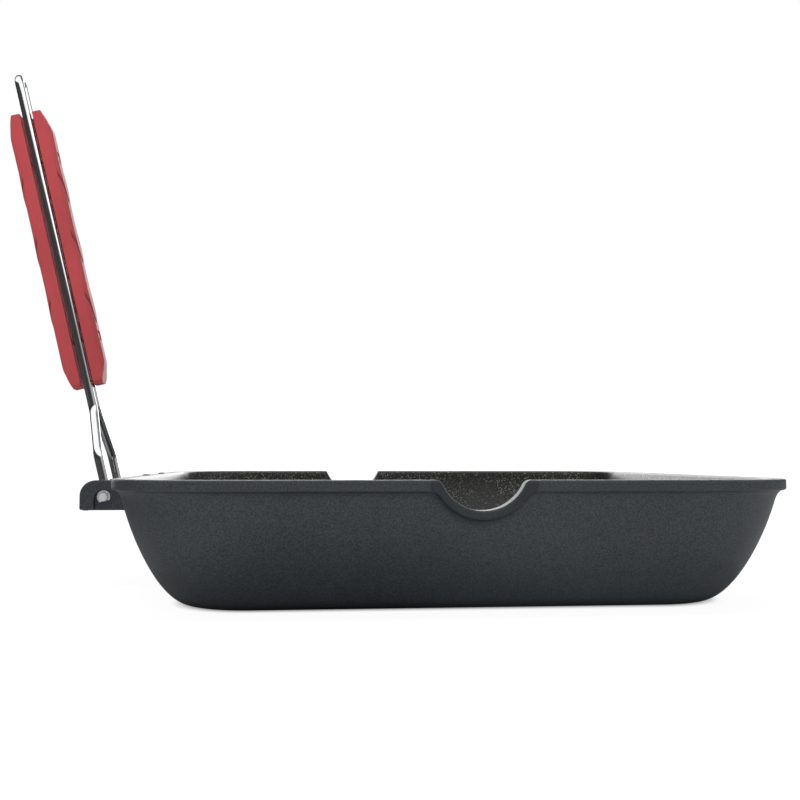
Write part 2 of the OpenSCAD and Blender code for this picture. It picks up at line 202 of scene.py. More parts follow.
class CameraSizes(bpy.types.PropertyGroup):
    """Place and aim of the camera."""

    eye: FloatVectorProperty(
        name="Eye",
        description="Place of the camera",
        default=(-0.0676, -0.5138, 0.0601),
        unit="LENGTH",
        subtype="TRANSLATION",
    )
    yaw: angle("Yaw", "Turn from +Y towards +X", 6.073)
    pitch: angle("Pitch", "Turn above the level", 3.352)
    roll: angle("Roll", "Turn about the line of sight", 0.092)
    lens: FloatProperty(
        name="Lens", description="Focal length in millimetres on a 36 mm sensor", default=45.0
    )


GROUPS = {
    "pan_sizes": PanSizes,
    "lug_sizes": LugSizes,
    "wire_sizes": WireSizes,
    "grip_sizes": GripSizes,
    "pan_finishes": Finishes,
    "pan_camera": CameraSizes,
}


# ---------------------------------------------------------------- mesh helpers


def mesh_object(name, points, quads, triangles=(), attributes=None, sharp=None):
    """An object made of whole arrays: points (n, 3), quads (m, 4) and triangles (k, 3)."""
    quads = np.asarray(quads, dtype=np.int32).reshape(-1, 4)
    triangles = np.asarray(triangles, dtype=np.int32).reshape(-1, 3)
    corners = np.concatenate([quads.ravel(), triangles.ravel()])
    totals = np.concatenate([np.full(len(quads), 4), np.full(len(triangles), 3)]).astype(np.int32)
    starts = np.concatenate([[0], np.cumsum(totals)[:-1]]).astype(np.int32)
    mesh = bpy.data.meshes.new(name)
    mesh.vertices.add(len(points))
    mesh.vertices.foreach_set("co", np.asarray(points, dtype=np.float32).ravel())
    mesh.loops.add(len(corners))
    mesh.loops.foreach_set("vertex_index", corners)
    mesh.polygons.add(len(totals))
    mesh.polygons.foreach_set("loop_start", starts)
    mesh.polygons.foreach_set("loop_total", totals)
    mesh.update(calc_edges=True)
    mesh.validate()
    mesh.shade_smooth()
    for key, values in (attributes or {}).items():
        layer = mesh.attributes.new(key, "FLOAT", "POINT")
        layer.data.foreach_set("value", np.asarray(values, dtype=np.float32).ravel())
    if sharp is not None:
        mesh.set_sharp_from_angle(angle=math.radians(sharp))
    made = bpy.data.objects.new(name, mesh)
    bpy.context.scene.collection.objects.link(made)
    return made


def loft(rings, flip=False):
    """Quads between closed rings of equal count, given as (rings, around, 3), with a fan of
    triangles from the middle of the first and of the last ring."""
    count, around = rings.shape[:2]
    index = np.arange(count * around).reshape(count, around)
    step = np.roll(index, -1, axis=1)
    quads = np.stack([index[:-1], step[:-1], step[1:], index[1:]], axis=-1).reshape(-1, 4)
    points = np.concatenate([rings.reshape(-1, 3), rings[[0, -1]].mean(axis=1)])
    first, last = len(points) - 2, len(points) - 1
    fan_first = np.stack([step[0], index[0], np.full(around, first)], axis=-1)
    fan_last = np.stack([index[-1], step[-1], np.full(around, last)], axis=-1)
    triangles = np.concatenate([fan_first, fan_last])
    if flip:
        quads, triangles = quads[:, ::-1], triangles[:, ::-1]
    return points, quads, triangles


def smooth_step(low, high, x):
    """0 below low, 1 above high, and 3t^2 - 2t^3 between them."""
    t = np.clip((x - low) / (high - low), 0, 1)
    return t * t * (3 - 2 * t)


def arc(cx, cy, radius, start, stop, count, ends=(True, True)):
    """Points on a circle's arc, angles in degrees; ends says which end points are kept."""
    t = np.radians(np.linspace(start, stop, count))
    t = t[0 if ends[0] else 1 : None if ends[1] else -1]
    return np.stack([cx + radius * np.cos(t), cy + radius * np.sin(t)], axis=-1)


def lean_over(points, lean):
    """Turns points of the upright handle about the pivot and moves them there: x becomes
    x cos - z sin and z becomes x sin + z cos of the lean, and the pivot's place is added."""
    c, s = math.cos(lean), math.sin(lean)
    x, y, z = points[..., 0], points[..., 1], points[..., 2]
    return np.stack([PIVOT[0] + x * c - z * s, PIVOT[1] + y, PIVOT[2] + x * s + z * c], axis=-1)


def finish_piece(piece, body, slot, material, *nodes):
    """Gives a piece its finish and its body, and hides the CAD nodes that it stands for; slot is not used.
    """
    piece.data.materials.clear()
    piece.data.materials.append(material)
    if nodes:
        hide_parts(*nodes)
    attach(piece, body)
    return piece


# ---------------------------------------------------------------- pan


def bowl(pan, t):
    """How far in the wall has come at a share t of its height: draft t + (1 - draft)
    (1 - sqrt(1 - t^power)), a straight draft mixed with a rounded bowl."""
    t = np.clip(t, 0, 1)
    return pan.draft_share * t + (1 - pan.draft_share) * (1 - np.sqrt(1 - t**pan.bowl_power))


def outer_inset(pan, depth):
    """Inset of the outer wall from the rim's edge at a depth below the rim."""
    t = (depth - pan.band) / (pan.height - pan.band)
    return pan.overhang + (pan.base_inset - pan.overhang) * bowl(pan, t)


def inner_inset(pan, depth):
    """Inset of the inner wall from the rim's edge at a depth below the rim."""
    top = pan.overhang + pan.wall
    t = (depth - pan.lip) / (pan.height - pan.floor - pan.lip)
    return top + (pan.base_inset - pan.heel - top) * bowl(pan, t)


def trough(x, radius, lift, blend):
    """Depth of a round trough below a level line, with its shoulders rounded by circles of
    radius blend: sqrt(radius^2 - x^2) - lift in the trough, where its centre lies lift above
    the line, blend - sqrt(blend^2 - (edge - x)^2) on a shoulder, and 0 beyond it."""
    x = np.abs(x)
    edge = math.sqrt((radius + blend) ** 2 - (blend + lift) ** 2)
    touch = edge * radius / (radius + blend)
    inside = np.sqrt(np.maximum(radius**2 - x**2, 0)) - lift
    shoulder = blend - np.sqrt(np.maximum(blend**2 - (edge - np.minimum(x, edge)) ** 2, 0))
    return np.where(x < touch, inside, np.where(x < edge, shoulder, 0.0))


CORNER_TURNS = np.linspace(0, 90, 29)
PLAIN_PLACES = np.linspace(-1, 1, 31)[1:-1]


def notched_places(centre):
    """Places of the columns along a side with a notch: fine round the notch, coarse beside it."""
    notch_half, side_half = 27 * MM, 78 * MM
    fine = centre + np.linspace(-notch_half, notch_half, 150)
    low = np.linspace(-side_half, fine[0], 12)[:-1]
    high = np.linspace(fine[-1], side_half, 12)[1:]
    return np.concatenate([low, fine, high])


def section_rows(pan, top, under):
    """The pan's section for each column, as (columns, rows, 2) of inset and depth. The rows run
    up the outer wall, round the band, over the rim and down the inner wall to the floor.
    top is the depth of the rim's top and under that of the band's underside, per column."""
    top, under = top[:, None], under[:, None]
    floor = pan.height - pan.floor
    rise = np.sin(np.linspace(90, 0, 34) * np.pi / 180)[None]
    start = under + pan.fillet
    depth = start + (pan.height - start) * rise
    wall = np.stack([outer_inset(pan, depth), depth], axis=-1)
    t = np.linspace(0, 1, 8)[None, 1:-1]
    foot = outer_inset(pan, start)
    hollow = np.stack(
        [
            (1 - t) ** 2 * foot + 2 * t * (1 - t) * (foot - 0.25 * pan.fillet) + t**2 * pan.edge,
            (1 - t) ** 2 * start + 2 * t * (1 - t) * (under + 0.05 * pan.fillet) + t**2 * under,
        ],
        axis=-1,
    )
    turn = np.radians(np.linspace(90, 180, 7))[None]
    lower = np.stack(
        [pan.edge + pan.edge * np.cos(turn) + 0 * under, under - pan.edge + pan.edge * np.sin(turn)],
        axis=-1,
    )
    t = np.linspace(0, 1, 6)[None, 1:-1]
    face = np.stack([0 * t + 0 * under, (under - pan.edge) * (1 - t) + (top + pan.edge) * t], axis=-1)
    turn = np.radians(np.linspace(180, 270, 7))[None]
    upper = np.stack(
        [pan.edge + pan.edge * np.cos(turn) + 0 * top, top + pan.edge + pan.edge * np.sin(turn)],
        axis=-1,
    )
    end = inner_inset(pan, top + pan.lip)
    t = np.linspace(0, 1, 7)[None, 1:-1]
    flat = np.stack([pan.edge * (1 - t) + (end - pan.lip) * t, top + 0 * t], axis=-1)
    turn = np.radians(np.linspace(270, 350, 9))[None]
    lip = np.stack(
        [end - pan.lip + pan.lip * np.cos(turn), top + pan.lip + pan.lip * np.sin(turn)], axis=-1
    )
    fall = np.sin(np.linspace(0, 90, 38) * np.pi / 180)[None, 1:]
    depth = top + pan.lip + (floor - top - pan.lip) * fall
    inner = np.stack([inner_inset(pan, depth), depth], axis=-1)
    return np.concatenate([wall, hollow, lower, face, upper, flat, lip, inner], axis=1)


def pan_surface(pan):
    """Points of the pan as (rows, columns, 3), counter-clockwise from above and starting at the
    corner between +X and +Y: each column's section, set into the wall where it stands. A point
    at inset e lies on a rounded square of half size half - e, whose corners shrink from
    rim_corner to base_corner as e grows to base_inset. Also gives 1 on the notches' bands."""
    near, far = notched_places(pan.near_notch), notched_places(pan.far_notch)
    lift = pan.notch_radius - pan.notch_depth
    relief_start, relief_end = 20.2 * MM, 21.0 * MM
    columns = []
    for quarter in range(4):
        level = np.full_like(CORNER_TURNS, pan.band)
        columns.append((quarter, CORNER_TURNS, np.zeros_like(CORNER_TURNS), level))
        along = {0: -far[::-1], 1: PLAIN_PLACES, 2: near, 3: PLAIN_PLACES}[quarter]
        if quarter in (0, 2):
            x = far[::-1] - pan.far_notch if quarter == 0 else near - pan.near_notch
            shoulder = pan.notch_shoulder if quarter else pan.far_shoulder
            top = trough(x, pan.notch_radius, lift, shoulder)
            band_radius = pan.notch_radius + pan.notch_band
            under = pan.band + trough(x, band_radius, lift + pan.band, pan.notch_blend)
            relief = pan.notch_relief * (1 - smooth_step(relief_start, relief_end, np.abs(x)))
        else:
            top, under, relief = np.zeros_like(along), np.full_like(along, pan.band), 0 * along
        columns.append((quarter + 4, along, top, under, relief))
    rows, facets = [], []
    for kind, place, top, under, *relief in columns:
        section = section_rows(pan, top, under)
        inset, depth = section[..., 0], section[..., 1]
        if relief:
            on_band = 1 - smooth_step(1.0 * MM, 4.5 * MM, inset)
            on_band *= np.clip((under[:, None] - depth) / (under - top)[:, None], 0, 1)
            share = relief[0][:, None] / pan.notch_relief
            # 1 on the notches' bands: the mask for the coat's painted shade there.
            facets.append(share * (inset < 1.2 * MM) * (depth < under[:, None]))
            inset = inset + relief[0][:, None] * on_band
        else:
            facets.append(0 * inset)
        radius = pan.rim_corner - (pan.rim_corner - pan.base_corner) * inset / pan.base_inset
        middle = pan.half - inset - radius
        if kind < 4:
            turn = np.radians(place)[:, None]
            x, y = middle + radius * np.cos(turn), middle + radius * np.sin(turn)
            for _ in range(kind):
                x, y = -y, x
        elif kind in (5, 7):
            across, out = -place[:, None] * middle, middle + radius
            x, y = (-out, across) if kind == 5 else (out, -across)
        else:
            across, out = -place[:, None] + 0 * inset, pan.half - inset
            x, y = (across, out) if kind == 4 else (-across, -out)
        rows.append(np.stack([x, y, pan.height - depth], axis=-1))
    return np.concatenate(rows, axis=0).transpose(1, 0, 2), np.concatenate(facets, axis=0).T


INNER_ROWS = 46


def inside_share(points):
    """1 on the lined inside of the pan and 0 on the coated outside, by row of the section: the
    last INNER_ROWS rows, from the rim's inner edge on, are inside."""
    rows = points.shape[0]
    row = np.arange(rows)[:, None] + np.zeros(points.shape[1])[None]
    first = rows - INNER_ROWS
    return smooth_step(first + 0.5, first + 3.5, row)


# ---------------------------------------------------------------- lug, as a field


def box_field(p, q, radius):
    """Signed distance to a box from its half-size offsets p and q, with rounded edges."""
    p, q = p + radius, q + radius
    return np.minimum(np.maximum(p, q), 0) + np.hypot(np.maximum(p, 0), np.maximum(q, 0)) - radius


def soft_min(a, b, k):
    """The lesser of two fields, rounded where they are within k of each other."""
    h = np.maximum(k - np.abs(a - b), 0) / k
    return np.minimum(a, b) - h * h * k / 4


def soft_max(a, b, k):
    """The greater of two fields, rounded where they are within k of each other."""
    return -soft_min(-a, -b, k)


def wall_field(pan, p):
    """Signed distance, near enough, to the outside of the wall and band on the -X side."""
    inset, depth = p[:, 0] + pan.half, pan.height - p[:, 2]
    wall_lean = math.radians(17)
    wall = (outer_inset(pan, np.clip(depth, 0, pan.height)) - inset) * math.cos(wall_lean)
    wall = np.maximum(wall, -depth)
    band = box_field(-inset, np.abs(depth - pan.band / 2) - pan.band / 2, pan.edge)
    return soft_min(wall, band, 2.4 * MM)


def lug_field(pan, lug, p):
    """Signed distance, near enough, to the lug: two ears with one round upper corner, the web
    and the stop bar between them, blended into the wall, less the bores and the pockets. It
    keeps a thin skin over the wall round the ears, and sinks no deeper than half the wall."""
    x, y, z = p[:, 0], np.abs(p[:, 1]), p[:, 2]
    foot = lug.top - lug.tall
    rear = -pan.half + 12 * MM
    lift, skin, margin, sink = 0.06 * MM, 0.5 * MM, 3.2 * MM, 1.5 * MM
    from_end, from_top, from_foot = x - lug.end, lug.top - z, z - foot
    flat = np.maximum.reduce([-from_end, -from_top, -from_foot, x - rear])
    round_top = np.hypot(lug.corner - from_end, lug.corner - from_top) - lug.corner
    flat = np.where((from_end < lug.corner) & (from_top < lug.corner), round_top, flat)
    round_toe = np.hypot(lug.toe - from_end, lug.toe - from_foot) - lug.toe
    flat = np.where((from_end < lug.toe) & (from_foot < lug.toe), round_toe, flat)
    middle = lug.inner + lug.thick / 2
    ears = box_field(flat, np.abs(y - middle) - lug.thick / 2, lug.edge)
    web_end = lug.end + lug.toe
    web = box_field(
        np.maximum(web_end - x, x - rear), np.abs(z - foot - lug.web / 2) - lug.web / 2, 0.3 * MM
    )
    bar = box_field(
        np.abs(x - web_end - (lug.stop - lug.toe) / 2) - (lug.stop - lug.toe) / 2,
        np.maximum(z - lug.stop_top, foot - z),
        0.5 * MM,
    )
    between = soft_min(web, bar, 1.0 * MM)
    between = np.maximum(between, y - lug.inner - 2 * MM)
    lug_only = soft_min(ears, between, 1.4 * MM)
    ring = np.hypot(x - PIVOT[0], z - PIVOT[2])
    drop = PIVOT[2] - lug.pocket_drop
    pocket = np.where(z > drop, np.hypot(x - PIVOT[0], z - drop), np.abs(x - PIVOT[0])) - lug.pocket
    pocket = np.maximum(pocket, lug.inner + lug.thick - lug.pocket_depth - y)
    wall = wall_field(pan, p)
    joined = soft_min(lug_only, wall + lift, lug.fillet)
    joined = soft_max(joined, -pocket, 0.5 * MM)
    joined = soft_max(joined, lug.bore - ring, 0.25 * MM)
    inward = x + pan.half - outer_inset(pan, np.clip(pan.height - z, 0, pan.height)) - sink
    return np.maximum.reduce([joined, -wall - skin, lug_only - margin, inward])


def net_surface(field, low, high, step):
    """The zero surface of a field, by surface nets: one point in each cell that the surface
    crosses, at the mean of its edges' crossings, joined across each crossed edge, then moved
    onto the surface along the field's slope."""
    counts = np.ceil((np.asarray(high) - low) / step).astype(int) + 1
    axes = [low[i] + step * np.arange(counts[i]) for i in range(3)]
    grid = np.stack(np.meshgrid(*axes, indexing="ij"), axis=-1)
    value = field(grid.reshape(-1, 3)).reshape(counts)
    cells = tuple(counts - 1)
    total, hits = np.zeros(cells + (3,)), np.zeros(cells)
    quads = []
    unit = np.eye(3, dtype=int)
    for axis in range(3):
        u, v = (axis + 1) % 3, (axis + 2) % 3
        a = value[tuple(slice(None, -1) if i == axis else slice(None) for i in range(3))]
        b = value[tuple(slice(1, None) if i == axis else slice(None) for i in range(3))]
        crossed = (a < 0) != (b < 0)
        share = np.where(crossed, a / np.where(a == b, 1, a - b), 0)
        for du in (0, 1):
            for dv in (0, 1):
                cut = [slice(None)] * 3
                cut[u] = slice(du, counts[u] - 1 + du)
                cut[v] = slice(dv, counts[v] - 1 + dv)
                part = crossed[tuple(cut)]
                offset = np.zeros(cells + (3,))
                offset[..., axis] = share[tuple(cut)]
                offset[..., u], offset[..., v] = du, dv
                total += offset * part[..., None]
                hits += part
        where = np.argwhere(crossed)
        off_low = (where[:, u] > 0) & (where[:, v] > 0)
        where = where[off_low & (where[:, u] < cells[u]) & (where[:, v] < cells[v])]
        ring = [where - unit[u] - unit[v], where - unit[v], where, where - unit[u]]
        quad = np.stack([np.ravel_multi_index(tuple(r.T), cells) for r in ring], axis=-1)
        outward = a[tuple(where.T)] < 0
        quads.append(np.where(outward[:, None], quad, quad[:, ::-1]))
    used = np.flatnonzero(hits.ravel() > 0)
    number = np.full(hits.size, -1)
    number[used] = np.arange(len(used))
    base = np.stack(np.unravel_index(used, cells), axis=-1)
    points = np.asarray(low) + step * (base + total.reshape(-1, 3)[used] / hits.ravel()[used][:, None])
    h = 0.02 * step
    for _ in range(4):
        rises = [field(points + h * unit[i]) - field(points - h * unit[i]) for i in range(3)]
        slope = np.stack([rise / (2 * h) for rise in rises], axis=-1)
        size = np.maximum((slope**2).sum(axis=-1), 0.2)
        move = -field(points)[:, None] * slope / size[:, None]
        points = points + np.clip(move, -0.5 * step, 0.5 * step)
    return points, number[np.concatenate(quads)]


# ---------------------------------------------------------------- wire


def wire_path(wire):
    """The wire's centre line as (n, 3) in the upright handle, from the near pin's end to the far
    pin's end: pin, bend, leg, spread bends and hairpin loop, mirrored in Y."""
    gap, pivot_gap = wire.grip_gap / 2, wire.pivot_gap / 2
    shift = pivot_gap - gap
    c, s = math.cos(wire.slope), math.sin(wire.slope)
    straight = (shift - 2 * wire.spread_bend * (1 - c)) / s
    low = wire.spread - 2 * wire.spread_bend * s - straight * c
    slope = math.degrees(wire.slope)
    pin_y = pivot_gap + wire.pin_bend
    pin = [wire.pin_end - t * wire.chamfer for t in (0.0, 0.08, 0.3, 0.62, 1.0)]
    for edge in (wire.ring + wire.ring_width + 0.05 * MM, wire.ring - 0.05 * MM):
        pin += [edge + 0.02 * MM, edge - 0.02 * MM]
    pin = np.array([[y, 0.0] for y in pin] + [[(pin_y + wire.ring) / 2, 0.0]])
    turn = arc(pin_y, wire.pin_bend, wire.pin_bend, 270, 180, 15)
    rise = np.stack([np.full(6, pivot_gap), np.linspace(wire.pin_bend, low, 8)[1:-1]], axis=-1)
    out_bend = arc(pivot_gap - wire.spread_bend, low, wire.spread_bend, 0, slope, 11)
    in_bend = arc(gap + wire.spread_bend, wire.spread, wire.spread_bend, 180 + slope, 180, 11)
    tip = wire.reach - wire.radius - gap
    leg = np.stack([np.full(30, gap), np.linspace(wire.spread, tip, 32)[1:-1]], axis=-1)
    loop = arc(0, tip, gap, 0, 90, 15)
    half = np.concatenate([pin, turn, rise, out_bend, in_bend, leg, loop])
    whole = np.concatenate([half * [-1, 1], (half[:-1])[::-1]])
    return np.stack([np.zeros(len(whole)), whole[:, 0], whole[:, 1]], axis=-1)


def wire_surface(wire, around=40):
    """A round tube along the wire's path: centre + radius (cos a X + sin a N), where X is the
    handle's own X and N the path's normal in the handle's plane. The radius is less in the
    ring's groove and rounds off to the pin's end."""
    path = wire_path(wire)
    tangent = np.gradient(path, axis=0)
    tangent /= np.linalg.norm(tangent, axis=1)[:, None]
    normal = np.stack([0 * tangent[:, 0], -tangent[:, 2], tangent[:, 1]], axis=-1)
    y = np.abs(path[:, 1])
    radius = np.full(len(path), wire.radius)
    on_pin = path[:, 2] < wire.radius
    spare = 0.05 * MM
    groove = (y > wire.ring - spare) & (y < wire.ring + wire.ring_width + spare) & on_pin
    radius[groove] -= wire.groove
    back = np.clip((y - (wire.pin_end - wire.chamfer)) / wire.chamfer, 0, 1)
    radius -= np.where(on_pin, wire.chamfer * (1 - np.sqrt(1 - (0.97 * back) ** 2)), 0)
    a = np.linspace(0, 2 * np.pi, around, endpoint=False)
    circle = np.cos(a)[None, :, None] * np.array([1.0, 0, 0]) + np.sin(a)[None, :, None] * normal[:, None]
    return lean_over(path[:, None] + radius[:, None, None] * circle, wire.lean)


# ---------------------------------------------------------------- grip


def scale_surface(grip, thickness):
    """One scale of the grip in the upright handle, as rings (rows, around, 3), on the +X side.
    A row's outline has a flat slot face, straight sides, sloping shoulders and a flat crown with
    every corner rounded. The crown swells towards each step and drops there, both ends slope
    down, the lower end is chamfered at its sides, and each row is drawn up towards its sides so
    that the steps are tongue-shaped. Also gives how near each point is to a step, 0 to 1."""
    end, top = grip.start + grip.long, grip.first + (grip.steps - 1) * grip.pitch
    rise = end - top - grip.slope
    knots = [grip.start + t * grip.foot_edge for t in (0, 0.03, 0.1, 0.2, 0.35, 0.5, 0.75, 1.0)]
    knots += list(np.linspace(grip.start + 1.2 * grip.foot_edge, grip.start + grip.slope, 9))
    knots += [grip.start + grip.slope + t * MM for t in (0.3, 0.8, 1.6)]
    knots += list(np.linspace(grip.start + grip.slope + 3 * MM, grip.first - 1 * MM, 10))
    for k in range(grip.steps):
        foot = grip.first + k * grip.pitch
        knots += list(foot + np.array([-2.4, -1.6, -1.0, -0.5, -0.25, -0.05, 0, 0.08, 0.2, 0.35, 0.6]) * MM)
        reach = (grip.pitch if k < grip.steps - 1 else rise) - 1.2 * MM
        knots += list(foot + np.linspace(1 * MM, reach, 20))
    knots += [end - grip.slope + t * MM for t in (-0.6, -0.2, 0.2)]
    knots += list(np.linspace(end - grip.slope + 0.8 * MM, end - 1.5 * grip.edge, 9))
    knots += [end - t * grip.edge for t in (1.0, 0.7, 0.4, 0.2, 0.06, 0)]
    row = np.unique(np.round(np.array(knots), 7))
    warp = smooth_step(grip.start + grip.slope, grip.first - 1 * MM, row)
    warp *= 1 - smooth_step(top + 2 * MM, end - grip.slope, row)

    knots = [grip.start + grip.slope, grip.first - 0.05 * MM]
    drops = [grip.dip / 2, grip.step]
    for k in range(grip.steps):
        foot = grip.first + k * grip.pitch
        reach = grip.pitch - 0.05 * MM if k < grip.steps - 1 else rise
        places = np.linspace(0, 1, 9)
        knots += [foot + 0.02 * MM] + list(foot + 0.4 * MM + (grip.run - 0.4 * MM) * places)
        drops += [0.05 * MM] + list(grip.dip * (3 - 2 * places) * places**2)
        last = grip.step if k < grip.steps - 1 else grip.dip / 2
        knots += list(foot + grip.run + (reach - grip.run) * places[1:])
        drops += list(grip.dip + (last - grip.dip) * (3 - 2 * places[1:]) * places[1:] ** 2)
    crown = thickness - np.interp(row, knots, drops)
    slope = (thickness - grip.dip / 2 - grip.end) / grip.slope
    ends = np.minimum(row - grip.start, end - row)
    cap = grip.end + slope * ends
    back = np.clip(1 - (end - row) / grip.edge, 0, 1)
    shrink = grip.edge * (1 - np.sqrt(np.maximum(1 - back**2, 0)))
    chamfer = np.clip(grip.foot_edge - (row - grip.start), 0, None)
    high = soft_min(crown, cap, 0.6 * MM) - shrink
    side = soft_min(np.full_like(row, grip.side), cap, 0.3 * MM) - shrink
    side = np.minimum(side, high - 0.05 * MM)
    half = grip.half_width - shrink - chamfer
    ratio = grip.bevel / (thickness - grip.side)
    inner = half - np.clip((high - side) * ratio, 0.06 * MM, None)

    corners = np.stack(
        [
            np.stack([0 * row + 0.3 * shrink, -half], -1),
            np.stack([side, -half], -1),
            np.stack([high, -inner], -1),
            np.stack([high, inner], -1),
            np.stack([side, half], -1),
            np.stack([0 * row + 0.3 * shrink, half], -1),
        ],
        axis=1,
    )
    rounding = np.array([0.4, 0.9, 1.1, 1.1, 0.9, 0.4]) * grip.edge
    before, after = np.roll(corners, 1, axis=1), np.roll(corners, -1, axis=1)
    pieces = []
    for k, size in enumerate(rounding):
        here = corners[:, k]
        to_before, to_after = before[:, k] - here, after[:, k] - here
        long_before, long_after = np.linalg.norm(to_before, axis=-1), np.linalg.norm(to_after, axis=-1)
        trim = np.minimum(size, 0.45 * np.minimum(long_before, long_after))
        a = here + to_before * (trim / long_before)[:, None]
        b = here + to_after * (trim / long_after)[:, None]
        t = np.linspace(0, 1, 6)[None, :, None]
        pieces.append((1 - t) ** 2 * a[:, None] + 2 * t * (1 - t) * here[:, None] + t**2 * b[:, None])
    outline = []
    spans = (8, 6, 10, 6, 8, 12)
    for k, span in enumerate(spans):
        outline.append(pieces[k])
        a, b = pieces[k][:, -1:], pieces[(k + 1) % 6][:, :1]
        t = np.linspace(0, 1, span + 2)[None, 1:-1, None]
        outline.append(a * (1 - t) + b * t)
    outline = np.concatenate(outline, axis=1)
    height, across = outline[..., 0], outline[..., 1]

    share = np.abs(across) / grip.half_width
    tongue_shares = [0, 0.2, 0.36, 0.5, 0.6, 0.72, 0.85, 1.0]
    tongue_draws = [0, 0.5, 2.2, 4.6, 7.0, 10.2, 12.6, 14.5]
    draw = np.interp(share, tongue_shares, tongue_draws) * MM
    place = row[:, None] + warp[:, None] * draw
    feet = grip.first + grip.pitch * np.arange(grip.steps)
    near = np.abs(row[:, None] - feet).min(axis=1)[:, None]
    # How near each point is to a step: the mask for the grip's painted shade at the steps.
    crease = np.clip(1.2 - near / (0.4 * MM + smooth_step(0.55, 0.7, share) * 1.6 * MM), 0, 1)
    crease *= height > grip.side + 0.2 * MM
    return np.stack([grip.slot / 2 + height, across, place], axis=-1), crease


def cut_holes(piece, places, radius, floor, reach):
    """Sinks round holes for the screws into a scale, from its crown down to floor."""
    turn = np.linspace(0, 2 * np.pi, 40, endpoint=False)
    sign = 1 if reach > 0 else -1
    for place in places:
        rings = np.stack(
            [
                np.stack([np.full(40, x), radius * np.cos(turn), place + radius * np.sin(turn)], axis=-1)
                for x in (floor, reach)
            ]
        )
        points, quads, triangles = loft(lean_over(rings, scene_group("wire_sizes").lean), flip=sign < 0)
        cutter = mesh_object("cutter", points, quads, triangles)
        modifier = piece.modifiers.new("hole", "BOOLEAN")
        modifier.operation, modifier.solver, modifier.object = "DIFFERENCE", "EXACT", cutter
        result = bpy.data.meshes.new_from_object(piece.evaluated_get(bpy.context.evaluated_depsgraph_get()))
        piece.modifiers.clear()
        piece.data = result
        bpy.data.objects.remove(cutter)
    piece.data.set_sharp_from_angle(angle=math.radians(38))


# ---------------------------------------------------------------- ring


def ring_surface(wire, side):
    """A retaining ring: a rounded rectangle carried round the pin through 290 degrees, its ends
    drawn in, with its open side down."""
    inner, outer = wire.radius - wire.groove + 0.05 * MM, wire.radius + 0.9 * MM
    middle, half = (inner + outer) / 2, (outer - inner) / 2
    turn = np.radians(np.linspace(-90 + 35, 270 - 35, 60))
    fade = np.sqrt(np.clip(np.minimum(turn - turn[0], turn[-1] - turn) / 0.12, 0.04, 1))
    a = np.linspace(0, 2 * np.pi, 16, endpoint=False)
    across, along = (np.sign(v) * np.abs(v) ** 0.5 for v in (np.cos(a), np.sin(a)))
    r = middle + half * across[None] * fade[:, None]
    y = wire.ring + wire.ring_width / 2 * (1 + along[None] * (0.4 + 0.6 * fade[:, None]))
    rings = np.stack([r * np.cos(turn)[:, None], side * y, r * np.sin(turn)[:, None]], axis=-1)
    return lean_over(rings, wire.lean)


# ---------------------------------------------------------------- shader maths


class Value:
    """A socket that carries a number or a colour. Arithmetic on it adds Math nodes."""

    def __init__(self, graph, socket):
        self.graph, self.socket = graph, socket

    def math(self, operation, *values):
        return self.graph.node("ShaderNodeMath", {"operation": operation}, dict(enumerate(values)))

    def __add__(self, other):
        return self.math("ADD", self, other)

    def __radd__(self, other):
        return self.math("ADD", other, self)

    def __sub__(self, other):
        return self.math("SUBTRACT", self, other)

    def __rsub__(self, other):
        return self.math("SUBTRACT", other, self)

    def __mul__(self, other):
        return self.math("MULTIPLY", self, other)

    def __rmul__(self, other):
        return self.math("MULTIPLY", other, self)

    def __pow__(self, other):
        return self.math("POWER", self, other)

    def __rpow__(self, other):
        return self.math("POWER", other, self)

    def absolute(self):
        return self.math("ABSOLUTE", self)

    def at_least(self, low):
        return self.math("MAXIMUM", self, low)

    def clamp(self, high=1.0):
        return self.graph.node("ShaderNodeClamp", {}, {"Value": self, "Max": high})

    def between(self, low, high):
        """0 at low, 1 at high, smooth between them."""
        settings = {"interpolation_type": "SMOOTHSTEP"}
        values = {"Value": self, "From Min": low, "From Max": high}
        return self.graph.node("ShaderNodeMapRange", settings, values)


